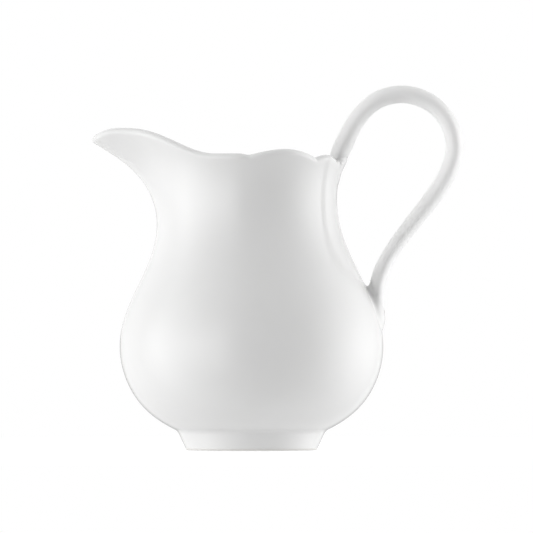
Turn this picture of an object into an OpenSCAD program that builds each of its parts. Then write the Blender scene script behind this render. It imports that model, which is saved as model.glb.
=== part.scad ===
// Porcelain cream jug. A pear-shaped body with a beak spout stands on a foot ring, and a
// looped handle springs from the back of the rim and ends on the belly. Slip, the same
// clay made liquid, holds the handle on at both ends.
//
// The origin is on the table under the middle of the foot. +Z is up, the handle points
// along +X and the spout along -X. All sizes are in millimetres.

/* [Foot] */
// Outer radius of the foot where it meets the belly
foot_r = 24.4; // [23:0.2:26]
// Outer radius of the foot on the table
standing_r = 21.8; // [20:0.2:23]
// Width of the ring that touches the table
standing_w = 3.8; // [3:0.2:5]
// Height of the foot
foot_h = 6.4; // [5.4:0.2:7.4]

/* [Body] */
// Largest radius of the belly
belly_r = 43.5; // [42:0.1:45]
// Height of the widest part of the belly
belly_z = 34.2; // [32:0.2:36]
// Smallest radius of the neck
neck_r = 28.2; // [27:0.1:30]
// Height of the narrowest part of the neck
neck_z = 82.8; // [81:0.1:85]
// How far the neck has flared out again where it nears the rim
flare = 3; // [2.6:0.1:3.6]
// Thickness of the wall
wall = 2.8; // [2.2:0.1:3.2]

/* [Rim] */
// Height of the rim's edge between the spout and the first cusp
rim_z = 95.7; // [95:0.1:97]
// How far the rim dips into the first cusp
cusp_drop = 0.5; // [0:0.1:1]
// How much lower again the rim is under the handle
back_drop = 1.6; // [1:0.1:2.5]
// Height of the wave in the rim at each side
side_wave = 1.9; // [0:0.1:4]
// Height of the small wave on each side of the handle
back_wave = 1.5; // [0:0.1:2]

/* [Spout] */
// How far the beak reaches out from the flared neck
spout_reach = 17.2; // [12:0.1:19]
// How far the beak rises above the rim at the sides
spout_rise = 8.4; // [6:0.1:10]
// Depth of the pouring notch at the tip of the beak
spout_notch = 2.9; // [2:0.1:4]
// Half the opening angle of the beak at the rim
spout_angle = 13; // [11:0.5:18]

/* [Handle] */
// Thickness of the handle in the middle of its loop
handle_thick = 5.8; // [5:0.1:6.5]
// Width of the handle in the middle of its loop
handle_width = 8.6; // [7:0.2:11]
// Radius of the loop along the middle of the handle
loop_r = 17.4; // [16:0.1:18.5]
// Thickness of the slip between the handle and the body
slip = 0.5; // [0.3:0.1:0.8]

/* [Hidden] */
glaze = "white";
bisque = "ivory";

// How squarely the belly turns in to the foot, how much the shoulder hollows below a
// plain cosine, and how far above the neck the flare is measured
belly_power = 6;
shoulder_hollow = 0.025;
flare_h = 13;

// Curvature of the body's outline at its widest and at its narrowest point
belly_drop = (belly_r - neck_r) * pow(PI / (neck_z - belly_z), 2);
belly_curve = belly_drop * (0.5 + 2 * shoulder_hollow);
neck_curve = belly_drop * (0.5 - 2 * shoulder_hollow);
belly_share = belly_curve * pow(belly_z - foot_h, 2) / (belly_r - foot_r) / 2;
flare_cubic = (flare - neck_curve * pow(flare_h, 2) / 2) / pow(flare_h, 3);

// The beak swells out of the shoulder from this height, gently at first and then faster,
// and turns up once it has nearly reached its limit
spout_from_z = 53;
spout_tip_z = 100.5;
spout_gentle_power = 2.35;
spout_fast_power = 8;
spout_fast_share = 0.22;
spout_limit = 19.6;
limit_power = 8;
// It is this much wider low on the neck than at the rim
spout_wide_z = 60;
spout_crest_z = 105;
spout_spread = 2.5;

// Angles from the middle of the spout at which the rim changes
notch_end = 11;
crest_end = 11;
spout_end = 66;
cusp_start = 82;
side_cusp = 89;
drop_start = 108;
back_cusp = 135;
wave_end = 159;

// Steps around and up the body, with the steps closest together at the spout
around = 84;
crowding = 0.55;
rows = 22;
row_power = 1.25;
rim_steps = 4;

// Steps along and around the handle
handle_steps = 4;
handle_sides = 16;
seat_z = rim_z - cusp_drop - back_drop + wall / 2 + slip;
loop_centre = [49.6, 100];
seat_thick = 6.2;
seat_width = 11;
tail_width = 9.6;
tail_low_z = 39.5;
tail_high_z = 53;
joint_margin = 1.2;
joint_steps = 12;
saddle_drop = 4;
saddle_angle = 14;

function clamp01(t) = min(max(t, 0), 1);
function ease(x, from, to) = (1 - cos(180 * clamp01((x - from) / (to - from)))) / 2;
function unit(v) = v / norm(v);
function mix(a, b, t) = a + (b - a) * t;
function polar(r, a, z) = [r * cos(a), r * sin(a), z];

// Outline of the body's sides and back. The curvature is the same on both sides of the
// widest and of the narrowest point, so that the glaze shows no line there.
function side_r(z) = z < belly_z ? belly_line(z) : z < neck_z ? shoulder_line(z) : flare_line(z);
function belly_line(z) =
    let (t = (belly_z - z) / (belly_z - foot_h))
    mix(belly_r, foot_r, mix(pow(t, belly_power), pow(t, 2), belly_share));
function shoulder_line(z) =
    let (t = 180 * (z - belly_z) / (neck_z - belly_z))
    mix(neck_r, belly_r, (1 + cos(t)) / 2 - shoulder_hollow * pow(sin(t), 2));
function flare_line(z) =
    let (rise = z - neck_z)
    neck_r + neck_curve / 2 * pow(rise, 2) + flare_cubic * pow(rise, 3);

// How far the beak stands out of that outline at height z, away degrees from its middle
function spout_depth(z) =
    let (
        rise = max(z - spout_from_z, 0) / (spout_tip_z - spout_from_z),
        swell = mix(pow(rise, spout_gentle_power), pow(rise, spout_fast_power), spout_fast_share),
        depth = spout_reach * swell
    )
    depth / pow(1 + pow(depth / spout_limit, limit_power), 1 / limit_power);
function spout_spread_at(z) =
    let (low = 1 - clamp01((z - spout_wide_z) / (spout_crest_z - spout_wide_z)))
    spout_angle * (1 + spout_spread * pow(low, 1.5));
function beak(z, away) = spout_depth(z) / pow(1 + pow(away / spout_spread_at(z), 2), 1.5);

// Height of the outer edge of the rim, away degrees from the middle of the spout
function wave(away, from, to, height) =
    height * sin(180 * clamp01((away - from) / (to - from)));
function edge_z(away) =
    rim_z
    + spout_rise * ease(away, spout_end, crest_end)
    - spout_notch * ease(away, notch_end, 0)
    - cusp_drop * ease(away, cusp_start, side_cusp)
    - back_drop * ease(away, drop_start, wave_end)
    + wave(away, side_cusp, back_cusp, side_wave)
    + wave(away, back_cusp, wave_end, back_wave);

// A point on the outer skin at azimuth a, and the way the skin faces there
function away(a) = abs(180 - (a + 360) % 360);
function skin(a, z) = polar(side_r(z) + beak(z, away(a)), a, z);
function facing(a, z) =
    unit(cross(skin(a + 0.5, z) - skin(a - 0.5, z), skin(a, z + 0.1) - skin(a, z - 0.1)));
function edge(a) = skin(a, edge_z(away(a)));

// Heights of the rows of the skin at azimuth a, from the foot to the rim
function row_z(a, row) = mix(foot_h, edge_z(away(a)), pow(row / rows, row_power));

// One row of points on the outer skin, on the inner skin, and over the rounded rim
function azimuth(i) = let (t = 360 * i / around) t + crowding * sin(t) * 180 / PI;
function outer_row(row) =
    [for (i = [0:around - 1]) let (a = azimuth(i)) skin(a, row_z(a, row))];
function inner_row(row) =
    [for (i = [0:around - 1]) let (a = azimuth(i), z = row_z(a, row))
        skin(a, z) - wall * facing(a, z)];
function rim_point(a, turn) =
    let (
        out = facing(a, edge_z(away(a))),
        up = unit(cross(out, edge(a + 0.5) - edge(a - 0.5)))
    )
    edge(a) + wall / 2 * (out * (cos(turn) - 1) + up * sin(turn));
function rim_row(step) =
    [for (i = [0:around - 1]) rim_point(azimuth(i), 180 * step / rim_steps)];

// A closed solid through rings that have the same number of points, from the first
// ring's cap to the last ring's cap
module loft(rings) {
    count = len(rings[0]);
    last = len(rings) - 1;
    ends = [centroid(rings[0]), centroid(rings[last])];
    first_end = count * (last + 1);
    faces = [
        for (r = [0:last - 1], i = [0:count - 1])
            let (j = (i + 1) % count)
            each [
                [r * count + i, (r + 1) * count + i, (r + 1) * count + j],
                [r * count + i, (r + 1) * count + j, r * count + j]
            ],
        for (i = [0:count - 1])
            let (j = (i + 1) % count)
            each [
                [first_end, i, j],
                [first_end + 1, last * count + j, last * count + i]
            ]
    ];
    polyhedron([for (ring = rings) each ring, each ends], faces);
}
function centroid(points) = [for (axis = [0:2]) sum([for (p = points) p[axis]]) / len(points)];
function sum(numbers) = numbers * [for (n = numbers) 1];

// Middle line of the handle as stations of [x, z, thickness, width]: up from the rim,
// round the loop, down to the belly and along it
stations = [
    [side_r(seat_z) - wall / 2 - 0.8, seat_z, seat_thick, seat_width],
    [31, 102, 6.2, 9.2],
    for (a = [150:-30:-30])
        [loop_centre.x + loop_r * cos(a), loop_centre.y + loop_r * sin(a), handle_thick, handle_width],
    [59.5, 83, 5.7, 8.6],
    [52.4, 74, 5.4, 8.6],
    [46, 65.2, 5, 8.6],
    [42.3, 57.3, 5.2, 8.8],
    [41.2, 50, 5.2, 9.2],
    [41.5, 44, 5.2, tail_width],
    [41.3, tail_low_z, 4.6, tail_width]
];

// Smooth curve through the stations, where s counts stations
function station(i) = stations[min(max(i, 0), len(stations) - 1)];
function along(s) =
    let (
        i = min(floor(s), len(stations) - 2),
        t = s - i,
        a = station(i - 1), b = station(i), c = station(i + 1), d = station(i + 2)
    )
    b + t / 2 * (c - a + t * (2 * a - 5 * b + 4 * c - d + t * (3 * b - a - 3 * c + d)));

// One oval ring of the handle. The first lies flat on the slip, the last ones close in
// to a round end, and none goes under the slip on the body.
function off_body(p) =
    let (r = norm([p.x, p.y]), least = side_r(p.z) + slip)
    p.z > tail_high_z + 4 || r > least ? p : [p.x * least / r, p.y * least / r, p.z];
function handle_ring(s) =
    let (
        here = along(s),
        step = along(s + 0.02) - along(s - 0.02),
        level = clamp01(s),
        out = unit(mix([-1, 0], unit([-step.y, step.x]), level)),
        left = (len(stations) - 1 - s) * 2,
        close = sqrt(1 - pow(1 - clamp01(left), 2) * 0.9)
    )
    [for (k = [0:handle_sides - 1])
        let (
            b = 360 * k / handle_sides,
            rise = here[2] / 2 * cos(b) * close,
            across = here[3] / 2 * sin(b) * close
        )
        off_body([here.x + rise * out.x, across, here.y + rise * out.y])];

// Meridian of the wall under the handle, over the rim from the outside to the inside
function wall_line(low) =
    let (top = edge_z(180), heights = [for (k = [0:4]) mix(top - low, top, k / 4)])
    concat(
        [for (z = heights) let (p = skin(0, z)) [p.x, p.z]],
        [for (k = [1:7]) let (p = rim_point(0, 180 * k / 8)) [p.x, p.z]],
        [for (k = [4:-1:0]) let (z = heights[k], p = skin(0, z) - wall * facing(0, z)) [p.x, p.z]]
    );

// The pad of slip under the handle's tail: one row across it at height z
function pad_row(z) =
    let (
        t = (z - tail_low_z + joint_margin) / (tail_high_z - tail_low_z + 2 * joint_margin),
        half = (tail_width / 2 + joint_margin) * pow(1 - pow(abs(2 * t - 1), 3), 1 / 2)
    )
    concat(
        [for (k = [-4:4]) pad_point(half * k / 4, z, slip * (1 - pow(k / 4, 6)))],
        [for (k = [3:-1:-3]) pad_point(half * k / 4, z, 0)]
    );
function pad_point(y, z, up) =
    let (r = side_r(z))
    polar(r + up, asin(y / r), z);

module body() {
    color(glaze)
        loft([
            for (row = [0:rows]) outer_row(row),
            for (step = [1:rim_steps - 1]) rim_row(step),
            for (row = [rows:-1:0]) inner_row(row)
        ]);
}

module foot_ring() {
    corner = 0.7;
    color(bisque)
        rotate_extrude($fn = 96)
            polygon([
                [standing_r - standing_w, foot_h],
                [standing_r - standing_w + 0.2, corner],
                [standing_r - standing_w + corner, 0],
                for (a = [-90:22.5:0])
                    [standing_r - corner + corner * cos(a), corner + corner * sin(a)],
                [foot_r, foot_h]
            ]);
}

module handle() {
    color(glaze)
        loft([for (s = [0:1 / handle_steps:len(stations) - 1]) handle_ring(s)]);
}

module upper_handle_joint() {
    middle = stations[0].x;
    color(glaze)
        rotate([0, 0, -saddle_angle])
            rotate_extrude(angle = 2 * saddle_angle, $fn = 96)
                polygon(concat(
                    wall_line(saddle_drop),
                    [[middle - seat_thick / 2, seat_z], [middle + seat_thick / 2, seat_z]]
                ));
}

module lower_handle_joint() {
    low = tail_low_z - joint_margin;
    high = tail_high_z + joint_margin;
    color(glaze)
        loft([for (k = [1:joint_steps - 1]) pad_row(mix(low, high, k / joint_steps))]);
}

body();
foot_ring();
handle();
upper_handle_joint();
lower_handle_joint();
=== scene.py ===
"""Porcelain cream jug: the glazed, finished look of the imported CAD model.

The outlines repeat the design's own formulas in millimetres and are turned into metres
when a mesh is made. Each piece stands for one CAD node and rides on the root body.
X runs from the spout (-) to the handle (+), and Z runs up from the table.
"""
import itertools
import math

import bpy
import numpy as np
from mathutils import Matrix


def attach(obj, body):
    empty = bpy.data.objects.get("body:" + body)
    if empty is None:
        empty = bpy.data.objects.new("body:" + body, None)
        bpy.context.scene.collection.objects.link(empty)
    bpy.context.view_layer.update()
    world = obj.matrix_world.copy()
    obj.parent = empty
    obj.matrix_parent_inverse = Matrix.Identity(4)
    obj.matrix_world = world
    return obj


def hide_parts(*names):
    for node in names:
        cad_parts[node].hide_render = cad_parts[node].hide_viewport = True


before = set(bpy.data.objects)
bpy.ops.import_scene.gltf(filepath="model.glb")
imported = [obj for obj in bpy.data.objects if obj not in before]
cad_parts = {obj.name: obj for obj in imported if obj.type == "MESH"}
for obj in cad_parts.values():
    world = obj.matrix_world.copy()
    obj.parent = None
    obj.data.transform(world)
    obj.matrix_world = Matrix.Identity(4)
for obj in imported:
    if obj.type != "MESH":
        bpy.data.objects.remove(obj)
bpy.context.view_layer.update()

# Down to the studio, lengths are in millimetres and angles in degrees
MM = 0.001

# Foot ring: where it meets the belly, its bare standing ring, and the glaze's lower edge
FOOT_R = 24.4
FOOT_H = 6.4
STANDING_R = 21.8
STANDING_W = 3.8
FOOT_CORNER = 0.7
FOOT_INNER_LEAN = 0.2
GLAZE_EDGE_Z = 0.9
# Hollow corner under the pot's floor: steps from the ring's inner radius and from its top
FOOT_COVE = [(-0.6, 0.1), (-0.35, -0.25), (0, -0.9)]
# Glaze that fills the corner between foot and belly: its reach down the foot, and the
# share of that by which it climbs the belly
FILLET = 1.3
FILLET_CLIMB = 0.4
# Where the fillet's end dips into the belly: heights above that end, and depths
FILLET_TUCK = [(0.15, 0.03), (0.3, 0.4)]
FOOT_SIDES = 240
FOOT_WALL_STEPS = 11
FILLET_STEPS = 12

# Body outline: the belly's widest place, the neck's narrowest, and the flare above it
BELLY_R = 43.5
BELLY_Z = 34.2
BELLY_POWER = 6
NECK_R = 28.2
NECK_Z = 82.8
SHOULDER_HOLLOW = 0.025
FLARE = 3.0
FLARE_H = 13.0
WALL = 2.8
# Curvatures and shares with which the outline's stretches pass smoothly into each other
BELLY_DROP = (BELLY_R - NECK_R) * (math.pi / (NECK_Z - BELLY_Z)) ** 2
BELLY_CURVE = BELLY_DROP * (0.5 + 2 * SHOULDER_HOLLOW)
NECK_CURVE = BELLY_DROP * (0.5 - 2 * SHOULDER_HOLLOW)
BELLY_SHARE = BELLY_CURVE * (BELLY_Z - FOOT_H) ** 2 / (BELLY_R - FOOT_R) / 2
FLARE_CUBIC = (FLARE - NECK_CURVE * FLARE_H ** 2 / 2) / FLARE_H ** 3

# Beak spout: how far it stands out at its tip, how it grows with height and how wide it is
SPOUT_REACH = 17.2
SPOUT_FROM_Z = 53.0
SPOUT_TIP_Z = 100.5
SPOUT_GENTLE = 2.35
SPOUT_FAST = 8
SPOUT_FAST_SHARE = 0.22
SPOUT_LIMIT = 19.6
SPOUT_LIMIT_POWER = 8
SPOUT_ANGLE = 13.0
SPOUT_SPREAD = 2.5
SPOUT_WIDE_Z = 60.0
SPOUT_CREST_Z = 105.0
SPOUT_ROUND = 1.5

# Rim: heights, and the angles from the middle of the spout at which it changes
RIM_Z = 95.7
SPOUT_RISE = 8.4
SPOUT_NOTCH = 2.9
CUSP_DROP = 0.5
BACK_DROP = 1.6
SIDE_WAVE = 1.9
BACK_WAVE = 1.5
NOTCH_END = 11.0
CREST_END = 11.0
SPOUT_END = 66.0
CUSP_START = 82.0
SIDE_CUSP = 89.0
DROP_START = 108.0
BACK_CUSP = 135.0
WAVE_END = 159.0
CUSP_SOFTNESS = 1.0

# Body mesh: columns, how far they crowd towards the spout, rows up each skin, and the size
# of the ring that closes it underneath, as a share of the foot's
AROUND = 360
CROWDING = 0.5
OUTER_ROWS = 120
INNER_ROWS = 110
FLOOR_ROWS = 16
RIM_STEPS = 12
ROW_POWER = 1.2
FLOOR_JOIN_Z = 9.4
HUB_SHARE = 0.1

# Handle: stations of x, z, thickness and width along its middle line
LOOP_CENTRE = (49.6, 100.0)
LOOP_R = 17.4
HANDLE_THICK = 5.8
HANDLE_WIDTH = 8.6
STATIONS = [
    (27.6, 89.6, 1.4, 4.5),
    (27.5, 92.2, 3.2, 8.2),
    (28.0, 95.0, 5.0, 10.2),
    (29.2, 98.2, 6.0, 10.2),
    (31.0, 102.0, 6.2, 9.2),
    *[
        (
            LOOP_CENTRE[0] + LOOP_R * math.cos(math.radians(a)),
            LOOP_CENTRE[1] + LOOP_R * math.sin(math.radians(a)),
            HANDLE_THICK,
            HANDLE_WIDTH,
        )
        for a in range(150, -31, -30)
    ],
    (59.5, 83.0, 5.7, 8.6),
    (52.4, 74.0, 5.4, 8.6),
    (46.0, 65.2, 5.0, 8.6),
    (42.3, 57.3, 5.2, 8.8),
    (41.2, 50.0, 5.2, 9.2),
    (41.5, 44.0, 5.2, 9.6),
    (41.3, 39.5, 4.6, 9.6),
]
# Lower end: the length over which it rounds off, its last size as a share, the height
# below which it is kept from sinking into the wall, and how deep it may sink
TAIL_ROUND = 4.5
TAIL_TIP_SHARE = 0.02
TAIL_FROM_Z = BELLY_Z * 1.8
SINK = 0.8
# Handle mesh: steps between two stations, and points round the strap
LINE_STEPS = 16
HANDLE_SIDES = 48

# Slip joints: reach of each fillet and the box that holds it
UPPER_BLEND = 2.2
UPPER_BOX = ((22, -11, 86), (38, 11, 106))
LOWER_BLEND = 2.6
LOWER_BOX = ((34, -10, 33), (49, 10, 62))
# How deep the slip goes into both pieces, how far its skin lies under the full fillet, and
# the share of the reach at which it ends
SLIP_DEPTH = 0.8
SLIP_UNDER = 0.003
SLIP_END = 1.02
# Grid cells of the slip's mesh, and rounds in which its points settle on the skin
SLIP_STEP = 0.3
SETTLE_ROUNDS = 3

# Steps for slopes and directions, which are found from two places close together
NUDGE = 0.05
NUDGE_ANGLE = 0.2
SLOPE_STEP = 0.1


def ease(x, start, end):
    """0 at start, 1 at end, level at both."""
    t = np.clip((x - start) / (end - start), 0, 1)
    return (1 - np.cos(np.pi * t)) / 2


def mix(a, b, t):
    """a where t is 0, b where t is 1, and in proportion between."""
    return a + (b - a) * t


def unit(v):
    """The vectors v at length 1."""
    return v / np.linalg.norm(v, axis=-1, keepdims=True)


def full_turn(count):
    """Angles in radians of count places evenly round a circle."""
    return 2 * np.pi * np.arange(count) / count


# ---------------------------------------------------------------- body surface

def side_r(z):
    """Radius of the body's sides and back at height z."""
    z = np.asarray(z, float)
    t = np.clip((BELLY_Z - z) / (BELLY_Z - FOOT_H), 0, 1.2)
    belly = mix(BELLY_R, FOOT_R, mix(t ** BELLY_POWER, t ** 2, BELLY_SHARE))
    turn = np.pi * (z - BELLY_Z) / (NECK_Z - BELLY_Z)
    hollow = SHOULDER_HOLLOW * np.sin(turn) ** 2
    shoulder = mix(NECK_R, BELLY_R, (1 + np.cos(turn)) / 2 - hollow)
    rise = z - NECK_Z
    flare = NECK_R + NECK_CURVE / 2 * rise ** 2 + FLARE_CUBIC * rise ** 3
    return np.where(z < BELLY_Z, belly, np.where(z < NECK_Z, shoulder, flare))


def side_slope(z):
    """How fast that radius grows with height."""
    return (side_r(z + SLOPE_STEP) - side_r(z - SLOPE_STEP)) / (2 * SLOPE_STEP)


def beak(z, away):
    """How far the beak stands out of that outline, away degrees from its middle."""
    rise = np.clip(z - SPOUT_FROM_Z, 0, None) / (SPOUT_TIP_Z - SPOUT_FROM_Z)
    depth = SPOUT_REACH * mix(rise ** SPOUT_GENTLE, rise ** SPOUT_FAST, SPOUT_FAST_SHARE)
    depth = depth / (1 + (depth / SPOUT_LIMIT) ** SPOUT_LIMIT_POWER) ** (1 / SPOUT_LIMIT_POWER)
    low = 1 - np.clip((z - SPOUT_WIDE_Z) / (SPOUT_CREST_Z - SPOUT_WIDE_Z), 0, 1)
    spread = SPOUT_ANGLE * (1 + SPOUT_SPREAD * low ** SPOUT_ROUND)
    return depth / (1 + (away / spread) ** 2) ** SPOUT_ROUND


def wave(away, start, end, height):
    """One arch of the rim between two cusps."""
    return height * np.sin(np.pi * np.clip((away - start) / (end - start), 0, 1))


def sharp_edge_z(away):
    """Height of the rim's outer edge before its cusps are softened."""
    return (
        RIM_Z
        + SPOUT_RISE * ease(away, SPOUT_END, CREST_END)
        - SPOUT_NOTCH * ease(away, NOTCH_END, 0)
        - CUSP_DROP * ease(away, CUSP_START, SIDE_CUSP)
        - BACK_DROP * ease(away, DROP_START, WAVE_END)
        + wave(away, SIDE_CUSP, BACK_CUSP, SIDE_WAVE)
        + wave(away, BACK_CUSP, WAVE_END, BACK_WAVE)
    )


def away_from_spout(a):
    """Angle between azimuth a and the middle of the spout."""
    return np.abs(180 - np.mod(a, 360))


def edge_z(a):
    """Height of the rim's outer edge at azimuth a, with the cusps softened as glaze does."""
    steps = np.linspace(-2, 2, 9)
    weights = np.exp(-steps ** 2)
    heights = [sharp_edge_z(away_from_spout(a + step * CUSP_SOFTNESS)) for step in steps]
    return sum(weight * height for weight, height in zip(weights, heights)) / weights.sum()


def skin(a, z):
    """Point on the outer skin at azimuth a and height z."""
    r = side_r(z) + beak(z, away_from_spout(a))
    turn = np.radians(a)
    return np.stack([r * np.cos(turn), r * np.sin(turn), z + 0 * r], axis=-1)


def facing(a, z):
    """The way the outer skin faces there."""
    round_it = skin(a + NUDGE_ANGLE, z) - skin(a - NUDGE_ANGLE, z)
    up_it = skin(a, z + NUDGE) - skin(a, z - NUDGE)
    return unit(np.cross(round_it, up_it))


def rim_point(a, turn):
    """Point on the rounded rim, turn degrees over from the outer edge."""
    z = edge_z(a)
    out = facing(a, z)
    before = skin(a - NUDGE_ANGLE, edge_z(a - NUDGE_ANGLE))
    after = skin(a + NUDGE_ANGLE, edge_z(a + NUDGE_ANGLE))
    up = unit(np.cross(out, after - before))
    turn = math.radians(turn)
    return skin(a, z) + WALL / 2 * (out * (math.cos(turn) - 1) + up * math.sin(turn))


# ---------------------------------------------------------------- meshes

def new_piece(name, points, faces, materials):
    """Mesh object from points in millimetres, smooth shaded."""
    mesh = bpy.data.meshes.new(name)
    mesh.from_pydata((np.asarray(points) * MM).tolist(), [], [list(map(int, f)) for f in faces])
    mesh.polygons.foreach_set("use_smooth", [True] * len(mesh.polygons))
    for material in materials:
        mesh.materials.append(material)
    mesh.update()
    piece = bpy.data.objects.new(name, mesh)
    bpy.context.scene.collection.objects.link(piece)
    return piece


def finish_piece(piece, node):
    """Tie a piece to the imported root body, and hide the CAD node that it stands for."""
    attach(piece, "root")
    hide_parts(node)


def band(first, second, count):
    """Faces between two rings of count points, whose first points have those numbers."""
    follows = [(i + 1) % count for i in range(count)]
    return [(first + i, first + j, second + j, second + i) for i, j in enumerate(follows)]


def loft(rings):
    """Points and faces of a solid through rings with the same number of points."""
    count = len(rings[0])
    last = len(rings) - 1
    faces = []
    for r in range(last):
        faces += band(r * count, (r + 1) * count, count)
    first_end = count * (last + 1)
    for i in range(count):
        j = (i + 1) % count
        faces.append((first_end, j, i))
        faces.append((first_end + 1, last * count + i, last * count + j))
    ends = [np.mean(rings[0], axis=0), np.mean(rings[last], axis=0)]
    return np.concatenate([*rings, ends]), faces


def floor_rings(join):
    """Rings of the dished floor, from the inner skin's lowest ring to near the middle."""
    join_r = np.hypot(join[:, 0], join[:, 1])[0]
    floor_z = FOOT_H + WALL
    drop = join[0, 2] - floor_z
    power = join_r / side_slope(FLOOR_JOIN_Z) / drop
    rings = []
    for row in range(1, FLOOR_ROWS):
        t = 1 - row / FLOOR_ROWS
        ring = join * (t, t, 0)
        ring[:, 2] = floor_z + drop * t ** power
        rings.append(ring)
    return rings


def make_body(glaze):
    """The cast pot: outer skin, rounded rim, inner skin and a dished floor."""
    turn = full_turn(AROUND)
    a = np.degrees(turn + CROWDING * np.sin(turn))
    top = edge_z(a)
    rings = [skin(a, np.full(AROUND, FOOT_H)) * (HUB_SHARE, HUB_SHARE, 1)]
    for row in range(OUTER_ROWS + 1):
        rings.append(skin(a, mix(FOOT_H, top, (row / OUTER_ROWS) ** ROW_POWER)))
    for step in range(1, RIM_STEPS):
        rings.append(rim_point(a, 180 * step / RIM_STEPS))
    for row in range(INNER_ROWS, -1, -1):
        z = mix(FLOOR_JOIN_Z, top, (row / INNER_ROWS) ** ROW_POWER)
        rings.append(skin(a, z) - WALL * facing(a, z))
    rings += floor_rings(rings[-1])
    points, faces = loft(rings)
    body = new_piece("glazed_body", points, faces, [glaze])
    finish_piece(body, "body")


def under_skin(z, depth):
    """Radius and height of a point that lies depth under the belly's skin."""
    run = np.array([side_r(z + NUDGE) - side_r(z - NUDGE), 2 * NUDGE])
    inward = unit(np.array([-run[1], run[0]]))
    return tuple(np.array([side_r(z), z]) + depth * inward)


def round_corner(r, z, start):
    """A quarter turn from angle start, round a foot corner whose centre is at r, z."""
    turns = np.radians(np.linspace(start, start + 90, 9))
    return [(r + FOOT_CORNER * math.cos(turn), z + FOOT_CORNER * math.sin(turn)) for turn in turns]


def foot_outline():
    """The foot ring's section: (radius, height) pairs, inside top to outside top."""
    inner_r = STANDING_R - STANDING_W
    flat_start = inner_r + FOOT_INNER_LEAN + FOOT_CORNER
    flat_end = STANDING_R - FOOT_CORNER
    outline = [(inner_r + out, FOOT_H + up) for out, up in FOOT_COVE]
    cove_z = outline[-1][1]
    outline += [(inner_r + FOOT_INNER_LEAN * t, mix(cove_z, FOOT_CORNER, t)) for t in (0.33, 0.67, 1)]
    outline += round_corner(flat_start, FOOT_CORNER, 180)[1:]
    outline += [(mix(flat_start, flat_end, t), 0) for t in (0.25, 0.5, 0.75)]
    outline += round_corner(flat_end, FOOT_CORNER, 270)
    return outline + foot_wall()


def foot_wall():
    """The foot's outer wall, the fillet of glaze above it and the fillet's tucked end."""
    wall_start = np.array([STANDING_R, FOOT_CORNER])
    meet = np.array([FOOT_R, FOOT_H])
    wall_end = meet - FILLET * unit(meet - wall_start)
    fillet_z = FOOT_H + FILLET * FILLET_CLIMB
    skin_start = under_skin(fillet_z, 0)
    wall = [tuple(mix(wall_start, wall_end, t)) for t in np.linspace(0, 1, FOOT_WALL_STEPS + 1)[1:]]
    for t in np.linspace(0, 1, FILLET_STEPS + 1)[1:]:
        wall.append(tuple(mix(mix(wall_end, meet, t), mix(meet, skin_start, t), t)))
    return wall + [under_skin(fillet_z + up, depth) for up, depth in FILLET_TUCK]


def make_foot(glaze, bisque):
    """The foot ring, glazed down to just above its bare standing edge."""
    turn = full_turn(FOOT_SIDES)
    circle = np.stack([np.cos(turn), np.sin(turn), 0 * turn], axis=-1)
    rings = [r * circle + (0, 0, z) for r, z in foot_outline()]
    faces = []
    for r in range(len(rings)):
        faces += band(r * FOOT_SIDES, (r + 1) % len(rings) * FOOT_SIDES, FOOT_SIDES)
    foot = new_piece("foot_ring_piece", np.concatenate(rings), faces, [glaze, bisque])
    for face in foot.data.polygons:
        if face.center.z < GLAZE_EDGE_Z * MM:
            face.material_index = 1
    finish_piece(foot, "foot_ring")


# ---------------------------------------------------------------- handle

def spline(values, per_span):
    """Natural cubic spline through the rows of values, per_span points in each span."""
    n = len(values)
    system = np.diag(np.full(n, 4.0)) + np.diag(np.ones(n - 1), 1) + np.diag(np.ones(n - 1), -1)
    system[0, 0] = system[-1, -1] = 2
    pull = np.empty_like(values)
    pull[1:-1] = 3 * (values[2:] - values[:-2])
    pull[0] = 3 * (values[1] - values[0])
    pull[-1] = 3 * (values[-1] - values[-2])
    slopes = np.linalg.solve(system, pull)
    t = np.linspace(0, 1, per_span, endpoint=False)[:, None]
    spans = []
    for i in range(n - 1):
        a, b, da, db = values[i], values[i + 1], slopes[i], slopes[i + 1]
        spans.append(
            a + t * da + t ** 2 * (3 * (b - a) - 2 * da - db) + t ** 3 * (2 * (a - b) + da + db)
        )
    return np.concatenate([*spans, values[-1:]])


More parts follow.
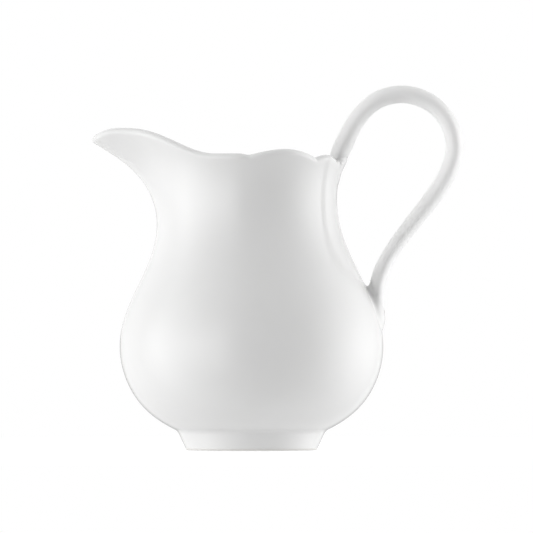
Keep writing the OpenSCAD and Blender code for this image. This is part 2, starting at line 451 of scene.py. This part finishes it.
class HandleLine:
    """The handle's middle line: its places, directions and half sizes."""

    def __init__(self):
        line = spline(np.array(STATIONS), LINE_STEPS)
        self.place = line[:, :2]
        run = np.gradient(self.place, axis=0)
        self.spacing = np.linalg.norm(run, axis=1)
        self.along = unit(run)
        self.out = np.stack([-self.along[:, 1], self.along[:, 0]], axis=-1)
        length = np.cumsum(self.spacing)
        left = np.clip((length[-1] - length) / TAIL_ROUND, 0, 1)
        close = np.sqrt(np.clip(1 - (1 - left) ** 2, TAIL_TIP_SHARE ** 2, 1))
        self.half_thick = line[:, 2] / 2 * close
        self.half_width = line[:, 3] / 2 * close

    def nearest(self, flat):
        """Where along the line, as a fractional index, it passes closest to each point."""
        square = (self.place ** 2).sum(axis=1)
        index = [(square - 2 * part @ self.place.T).argmin(axis=1) for part in in_parts(flat)]
        index = np.concatenate(index)
        beyond = ((flat - self.place[index]) * self.along[index]).sum(axis=1)
        return np.clip(index + beyond / self.spacing[index], 0, len(self.place) - 1)

    def at(self, where):
        """Place, direction out and half sizes at fractional indices along the line."""
        table = np.column_stack([self.place, self.out, self.half_thick, self.half_width])
        low = np.minimum(where.astype(int), len(table) - 2)
        row = mix(table[low], table[low + 1], (where - low)[:, None])
        return row[:, :2], unit(row[:, 2:4]), row[:, 4], row[:, 5]

    def distance(self, p):
        """Signed distance, near enough, from points p to the handle's skin."""
        flat = p[:, [0, 2]]
        place, out, thick, width = self.at(self.nearest(flat))
        offset = flat - place
        rise = (offset * out).sum(axis=1)
        beyond = offset[:, 0] * out[:, 1] - offset[:, 1] * out[:, 0]
        across = np.stack([rise / thick, p[:, 1] / width, beyond / thick])
        steep = np.stack([rise / thick ** 2, p[:, 1] / width ** 2, beyond / thick ** 2])
        scale = np.linalg.norm(across, axis=0)
        return scale * (scale - 1) / np.maximum(np.linalg.norm(steep, axis=0), 1e-6)


def in_parts(rows, size=20000):
    """The rows a part at a time, which keeps large tables small."""
    return [rows[first:first + size] for first in range(0, len(rows), size)]


def keep_off_body(ring):
    """Push points that lie deep in the body's wall out to just under its skin."""
    r = np.hypot(ring[:, 0], ring[:, 1])
    grow = np.maximum((side_r(ring[:, 2]) - SINK) / r, 1)
    return ring * np.stack([grow, grow, np.ones_like(grow)], axis=-1)


def make_handle(line, glaze):
    """The strap: an ellipse carried along the middle line, with its ends inside the body."""
    turn = full_turn(HANDLE_SIDES)
    rings = []
    for place, out, thick, width in zip(line.place, line.out, line.half_thick, line.half_width):
        rise = thick * np.cos(turn)
        x = place[0] + rise * out[0]
        z = place[1] + rise * out[1]
        ring = np.stack([x, -width * np.sin(turn), z], axis=-1)
        rings.append(keep_off_body(ring) if place[1] < TAIL_FROM_Z else ring)
    points, faces = loft(rings)
    handle = new_piece("glazed_handle", points, faces, [glaze])
    finish_piece(handle, "handle")


# ---------------------------------------------------------------- slip joints

def wall_distance(p):
    """Signed distance from points p to the wall of the neck, with its rounded rim."""
    r = np.hypot(p[:, 0], p[:, 1])
    a = np.degrees(np.arctan2(p[:, 1], p[:, 0]))
    z = p[:, 2]
    slope = side_slope(z)
    lean = 1 / np.sqrt(1 + slope ** 2)
    depth = (r - side_r(z)) * lean + WALL / 2
    above = np.maximum((z - edge_z(a)) / lean - depth * slope * lean, 0)
    return np.hypot(depth, above) - WALL / 2


def body_distance(p):
    """Signed distance from points p to the outer skin of the body."""
    z = p[:, 2]
    return (np.hypot(p[:, 0], p[:, 1]) - side_r(z)) / np.sqrt(1 + side_slope(z) ** 2)


def slip_distance(p, line, part_distance, blend):
    """Signed distance to the skin of slip that fills the corner between handle and part."""
    to_handle = line.distance(p)
    to_part = part_distance(p)
    gap = np.abs(to_handle - to_part)
    near = np.maximum(blend - gap, 0) / blend
    union = np.minimum(to_handle, to_part) - near ** 2 * blend / 4
    limits = [-to_handle - SLIP_DEPTH, -to_part - SLIP_DEPTH, gap - blend * SLIP_END]
    return np.maximum.reduce([union + SLIP_UNDER, *limits])


# How a skin cuts a tetrahedron with 1, 2 or 3 corners inside: triangles, each corner of
# which lies on the edge from an inside corner to an outside corner
CUTS = {
    1: [((0, 1), (0, 2), (0, 3))],
    2: [((0, 2), (0, 3), (1, 3)), ((0, 2), (1, 3), (1, 2))],
    3: [((0, 3), (1, 3), (2, 3))],
}


def trace(distance, low, high, step):
    """Closed triangle mesh of distance = 0, found in the six tetrahedra of each grid cell."""
    axes = [np.arange(a, b + step, step) for a, b in zip(low, high)]
    grid = np.stack(np.meshgrid(*axes, indexing="ij"), axis=-1).reshape(-1, 3)
    value = distance(grid)
    number = np.arange(len(grid)).reshape([len(axis) for axis in axes])
    strides = [number[1, 0, 0], number[0, 1, 0], number[0, 0, 1]]
    cells = number[:-1, :-1, :-1].ravel()
    corners = [sum(choice) for choice in itertools.product(*[(0, stride) for stride in strides])]
    filled = (value[cells[:, None] + np.array(corners)] < 0).sum(axis=1)
    cells = cells[(filled > 0) & (filled < len(corners))]
    edges = []
    for a, b, c in itertools.permutations(strides):
        corners = cells[:, None] + np.array([0, a, a + b, a + b + c])
        inside = value[corners] < 0
        order = np.argsort(~inside, axis=1, kind="stable")
        corners = np.take_along_axis(corners, order, axis=1)
        for count, triangles in CUTS.items():
            cut = corners[inside.sum(axis=1) == count]
            edges += [cut[:, np.array(triangle)] for triangle in triangles]
    edges = np.concatenate(edges)
    pairs, faces = np.unique(edges.reshape(-1, 2), axis=0, return_inverse=True)
    faces = faces.reshape(-1, 3)
    start, end = pairs.T
    share = value[start] / (value[start] - value[end])
    points = mix(grid[start], grid[end], share[:, None])
    a, b, c = points[faces[:, 0]], points[faces[:, 1]], points[faces[:, 2]]
    outward = (np.cross(b - a, c - a) * (a - grid[edges[:, 0, 0]])).sum(axis=1) > 0
    return points, np.where(outward[:, None], faces, faces[:, ::-1])


def slope_of(distance, points):
    """The direction in which distance grows, and how fast, at each point."""
    small = 0.02
    steps = [distance(points + small * e) - distance(points - small * e) for e in np.eye(3)]
    return np.stack(steps, axis=-1) / (2 * small)


def settle(points, distance, reach):
    """Move points onto distance = 0 along its slope, each at most reach."""
    start = points.copy()
    for _ in range(SETTLE_ROUNDS):
        value = distance(points)
        slope = slope_of(distance, points)
        size = np.maximum((slope ** 2).sum(axis=1), 0.05)
        moved = points - (value / size)[:, None] * slope - start
        length = np.maximum(np.linalg.norm(moved, axis=1), 1e-9)
        points = start + moved * np.minimum(1, reach / length)[:, None]
    return points


def make_joint(name, node, line, part_distance, blend, box, glaze):
    """One bed of slip, which runs out flush into the handle's skin and the part's."""
    def distance(p):
        return slip_distance(p, line, part_distance, blend)

    step = SLIP_STEP
    points, faces = trace(distance, *box, step)
    points = settle(points, distance, step)
    joint = new_piece(name, points, faces, [glaze])
    finish_piece(joint, node)


# ---------------------------------------------------------------- shader nodes

WHITE = (1, 1, 1, 1)


class Graph:
    """Short ways to add and join shader nodes in one node tree."""

    def __init__(self, tree):
        self.tree = tree

    def node(self, kind, **values):
        """Add a node. Each value is a node setting, or the default of the input of that name."""
        node = self.tree.nodes.new("ShaderNode" + kind)
        for name, value in values.items():
            if hasattr(node, name):
                setattr(node, name, value)
            else:
                node.inputs[name.replace("_", " ")].default_value = value
        return node

    def join(self, start, end):
        """Link an output to an input."""
        self.tree.links.new(start, end)

    def math(self, operation, *values):
        """The output of a math node whose inputs are numbers or other outputs."""
        node = self.node("Math", operation=operation)
        for socket, value in zip(node.inputs, values):
            if isinstance(value, bpy.types.NodeSocket):
                self.join(value, socket)
            else:
                socket.default_value = value
        return node.outputs[0]

    def ramp(self, value, low, high, at_low, at_high, kind="SMOOTHSTEP"):
        """at_low where value is low, at_high where it is high, smooth or linear between."""
        node = self.node("MapRange", interpolation_type=kind)
        for socket, number in zip(list(node.inputs)[1:5], (low, high, at_low, at_high)):
            socket.default_value = number
        self.join(value, node.inputs["Value"])
        return node.outputs["Result"]

    def noise(self, place, scale, detail):
        """Cloudy noise over place."""
        node = self.node("TexNoise", Scale=scale, Detail=detail)
        self.join(place, node.inputs["Vector"])
        return node.outputs["Fac"]

    def tint(self, value, *stops):
        """A colour that passes between two stops, each a value and a colour."""
        node = self.node("ValToRGB")
        for element, (position, colour) in zip(node.color_ramp.elements, stops):
            element.position = position
            element.color = colour
        self.join(value, node.inputs["Fac"])
        return node.outputs["Color"]

    def bump(self, height, strength, distance):
        """Surface direction tilted by a height."""
        node = self.node("Bump", Strength=strength, Distance=distance)
        self.join(height, node.inputs["Height"])
        return node.outputs["Normal"]

    def blend(self, share, first, second):
        """The first shader where share is 0, the second where it is 1."""
        node = self.node("MixShader")
        for socket, output in zip(node.inputs, (share, first, second)):
            self.join(output, socket)
        return node.outputs["Shader"]


# ---------------------------------------------------------------- materials

# Noise scales are in cells to the metre, bump heights in metres
GLAZE_TINTS = [(0.3, (0.905, 0.905, 0.9, 1)), (0.7, (0.925, 0.925, 0.922, 1))]
GLAZE_CLOUDS = {"scale": 45, "detail": 3}
GLAZE_WANDER = {"scale": 130, "detail": 2}
GLAZE_RELIEF = {"strength": 0.12, "distance": 0.00008}
GLAZE_GLOSS_SPREAD = 0.2
GLAZE_LIGHT_DEPTH = 0.0035
BISQUE_TINTS = [(0, (0.78, 0.77, 0.74, 1)), (1, (0.86, 0.85, 0.83, 1))]
BISQUE_GRAIN = {"scale": 2500, "detail": 4}
BISQUE_RELIEF = {"strength": 0.5, "distance": 0.00005}
BISQUE_ROUGHNESS = 0.75

# Roughness, and how much light passes in under the skin. The thin handle's glaze is
# softer and lets more light in than the body's.
BODY_GLAZE = (0.09, 0.1)
HANDLE_GLAZE = (0.32, 0.75)


def new_material(name):
    """A new material, its graph, its shader, and the object's own coordinates."""
    material = bpy.data.materials.new(name)
    material.use_nodes = True
    graph = Graph(material.node_tree)
    place = graph.node("TexCoord").outputs["Object"]
    return material, graph, graph.tree.nodes["Principled BSDF"], place


def glaze_material(name, roughness, translucency):
    """Clear gloss over white porcelain: faint tint clouds and the soft wander of a glaze."""
    material, graph, shader, place = new_material(name)
    shader.inputs["Roughness"].default_value = roughness
    shader.inputs["IOR"].default_value = 1.5
    shader.inputs["Subsurface Weight"].default_value = translucency
    shader.inputs["Subsurface Radius"].default_value = (1, 1, 1)
    shader.inputs["Subsurface Scale"].default_value = GLAZE_LIGHT_DEPTH
    clouds = graph.noise(place, **GLAZE_CLOUDS)
    wander = graph.noise(place, **GLAZE_WANDER)
    rough = [roughness * (1 - GLAZE_GLOSS_SPREAD), roughness * (1 + GLAZE_GLOSS_SPREAD)]
    graph.join(graph.tint(clouds, *GLAZE_TINTS), shader.inputs["Base Color"])
    graph.join(graph.ramp(clouds, 0, 1, *rough, "LINEAR"), shader.inputs["Roughness"])
    graph.join(graph.bump(wander, **GLAZE_RELIEF), shader.inputs["Normal"])
    return material


def bisque_material(name):
    """Bare fired porcelain on the standing edge: matt, fine grained, slightly warmer."""
    material, graph, shader, place = new_material(name)
    shader.inputs["Roughness"].default_value = BISQUE_ROUGHNESS
    grain = graph.noise(place, **BISQUE_GRAIN)
    graph.join(graph.tint(grain, *BISQUE_TINTS), shader.inputs["Base Color"])
    graph.join(graph.bump(grain, **BISQUE_RELIEF), shader.inputs["Normal"])
    return material


# ---------------------------------------------------------------- studio

# The camera looks level along +Y from far away. These lengths are in metres.
VIEW_WIDTH = 0.1759
CAMERA_DISTANCE = 4.8
CAMERA_TARGET = (0.00495, 0, 0.0606)
CAMERA_REACH = 20
SENSOR_MM = 36

# Brightness of the backdrop that the camera sees, and of the room's dark and pale ends
BACKDROP = 1.0
FRONT_LIGHT = 0.11
BACK_LIGHT = 0.9
# Softboxes: azimuth from the camera's side towards the right, half width of the bright
# panel, where it has faded out, and brightness
SOFTBOXES = [(-60, 27, 55, 1.77), (95, 0, 56, 2.5)]
# Angle above or below the level at which they have faded to their dimmest, and how dim
SOFTBOX_TOP = 50
SOFTBOX_TOP_SHARE = 0.17
# Dark patch low behind the jug, which draws a thin line along the belly's lower edges:
# how dark, between which shares of straight back it sets in, and the height of its top
PATCH_SHADE = 0.5
PATCH_EDGE = (0.93, 0.98)
PATCH_TOP = 0.04

# Floor: a disc that fades into the backdrop between two distances from the jug's middle
FLOOR_R = 3.0
FLOOR_SIDES = 64
FLOOR_COLOUR = (0.8, 0.8, 0.8, 1)
FLOOR_ROUGHNESS = 0.9
FLOOR_GLOW = 0.45
FADE_START = 0.08
FADE_END = 0.4


def make_camera():
    """A level camera with a lens so long that the view is almost without perspective."""
    data = bpy.data.cameras.new("camera")
    data.sensor_width = SENSOR_MM
    data.lens = SENSOR_MM * CAMERA_DISTANCE / VIEW_WIDTH
    data.clip_end = CAMERA_REACH
    camera = bpy.data.objects.new("camera", data)
    camera.location = (CAMERA_TARGET[0], -CAMERA_DISTANCE, CAMERA_TARGET[2])
    camera.rotation_euler = (math.radians(90), 0, 0)
    bpy.context.scene.collection.objects.link(camera)
    bpy.context.scene.camera = camera


def room_light(graph, way):
    """Brightness of the room by direction: dark at the camera's side and in the patch."""
    room = graph.ramp(way.outputs["Y"], -1, 1, FRONT_LIGHT, BACK_LIGHT, "LINEAR")
    behind = graph.ramp(way.outputs["Y"], *PATCH_EDGE, 0, PATCH_SHADE)
    below = graph.ramp(way.outputs["Z"], 0, PATCH_TOP, 1, 0)
    shade = graph.math("MULTIPLY", behind, below)
    return graph.math("MULTIPLY", room, graph.math("SUBTRACT", 1, shade))


def add_softboxes(graph, way, total):
    """The brightness total, with the softboxes on both sides added to it."""
    height = graph.math("ABSOLUTE", graph.math("ARCSINE", way.outputs["Z"]))
    fall = graph.ramp(height, 0, math.radians(SOFTBOX_TOP), 1, SOFTBOX_TOP_SHARE)
    flat = graph.node("CombineXYZ")
    graph.join(way.outputs["X"], flat.inputs["X"])
    graph.join(way.outputs["Y"], flat.inputs["Y"])
    level = graph.node("VectorMath", operation="NORMALIZE")
    graph.join(flat.outputs["Vector"], level.inputs[0])
    for azimuth, half_width, faded, brightness in SOFTBOXES:
        turn = math.radians(azimuth)
        toward = graph.node("VectorMath", operation="DOT_PRODUCT")
        toward.inputs[1].default_value = (math.sin(turn), -math.cos(turn), 0)
        graph.join(level.outputs["Vector"], toward.inputs[0])
        away = graph.math("ARCCOSINE", toward.outputs["Value"])
        panel = graph.ramp(away, math.radians(half_width), math.radians(faded), brightness, 0)
        total = graph.math("MULTIPLY_ADD", panel, fall, total)
    return total


def make_surround():
    """Soft studio light on the jug, and a plain white backdrop for the camera."""
    world = bpy.data.worlds.new("studio")
    bpy.context.scene.world = world
    world.use_nodes = True
    graph = Graph(world.node_tree)
    way = graph.node("SeparateXYZ")
    graph.join(graph.node("TexCoord").outputs["Generated"], way.inputs["Vector"])
    light = graph.tree.nodes["Background"]
    light.inputs["Color"].default_value = WHITE
    graph.join(add_softboxes(graph, way, room_light(graph, way)), light.inputs["Strength"])
    backdrop = graph.node("Background", Color=WHITE, Strength=BACKDROP)
    camera_ray = graph.node("LightPath").outputs["Is Camera Ray"]
    surround = graph.blend(camera_ray, light.outputs[0], backdrop.outputs[0])
    graph.join(surround, graph.tree.nodes["World Output"].inputs["Surface"])


def floor_material():
    """Pale matt floor that fades into the white of the backdrop away from the jug."""
    material, graph, shader, place = new_material("pale_floor")
    shader.inputs["Base Color"].default_value = FLOOR_COLOUR
    shader.inputs["Roughness"].default_value = FLOOR_ROUGHNESS
    shader.inputs["Specular IOR Level"].default_value = 0
    shader.inputs["Emission Color"].default_value = WHITE
    shader.inputs["Emission Strength"].default_value = FLOOR_GLOW
    away = graph.node("VectorMath", operation="LENGTH")
    graph.join(place, away.inputs[0])
    fade = graph.ramp(away.outputs["Value"], FADE_START, FADE_END, 0, 1)
    white = graph.node("Emission", Color=WHITE, Strength=BACKDROP)
    surface = graph.blend(fade, shader.outputs["BSDF"], white.outputs["Emission"])
    graph.join(surface, graph.tree.nodes["Material Output"].inputs["Surface"])
    return material


def make_floor():
    """The floor that the jug stands on. It neither lights the jug nor shades it."""
    turn = full_turn(FLOOR_SIDES)
    edge = np.stack([np.cos(turn), np.sin(turn), 0 * turn], axis=-1) * FLOOR_R / MM
    floor = new_piece("floor", edge, [range(FLOOR_SIDES)], [floor_material()])
    floor.visible_diffuse = False
    floor.visible_glossy = False
    floor.visible_shadow = False


def main():
    """The studio, the materials and the jug's five pieces."""
    make_camera()
    make_surround()
    make_floor()
    glaze = glaze_material("porcelain_glaze", *BODY_GLAZE)
    handle_glaze = glaze_material("handle_glaze", *HANDLE_GLAZE)
    bisque = bisque_material("bare_bisque")
    line = HandleLine()
    make_body(glaze)
    make_foot(glaze, bisque)
    make_handle(line, handle_glaze)
    make_joint("upper_slip", "upper_handle_joint", line, wall_distance, UPPER_BLEND, UPPER_BOX, glaze)
    make_joint("lower_slip", "lower_handle_joint", line, body_distance, LOWER_BLEND, LOWER_BOX, glaze)
    bpy.context.scene.view_settings.view_transform = "Standard"


main()
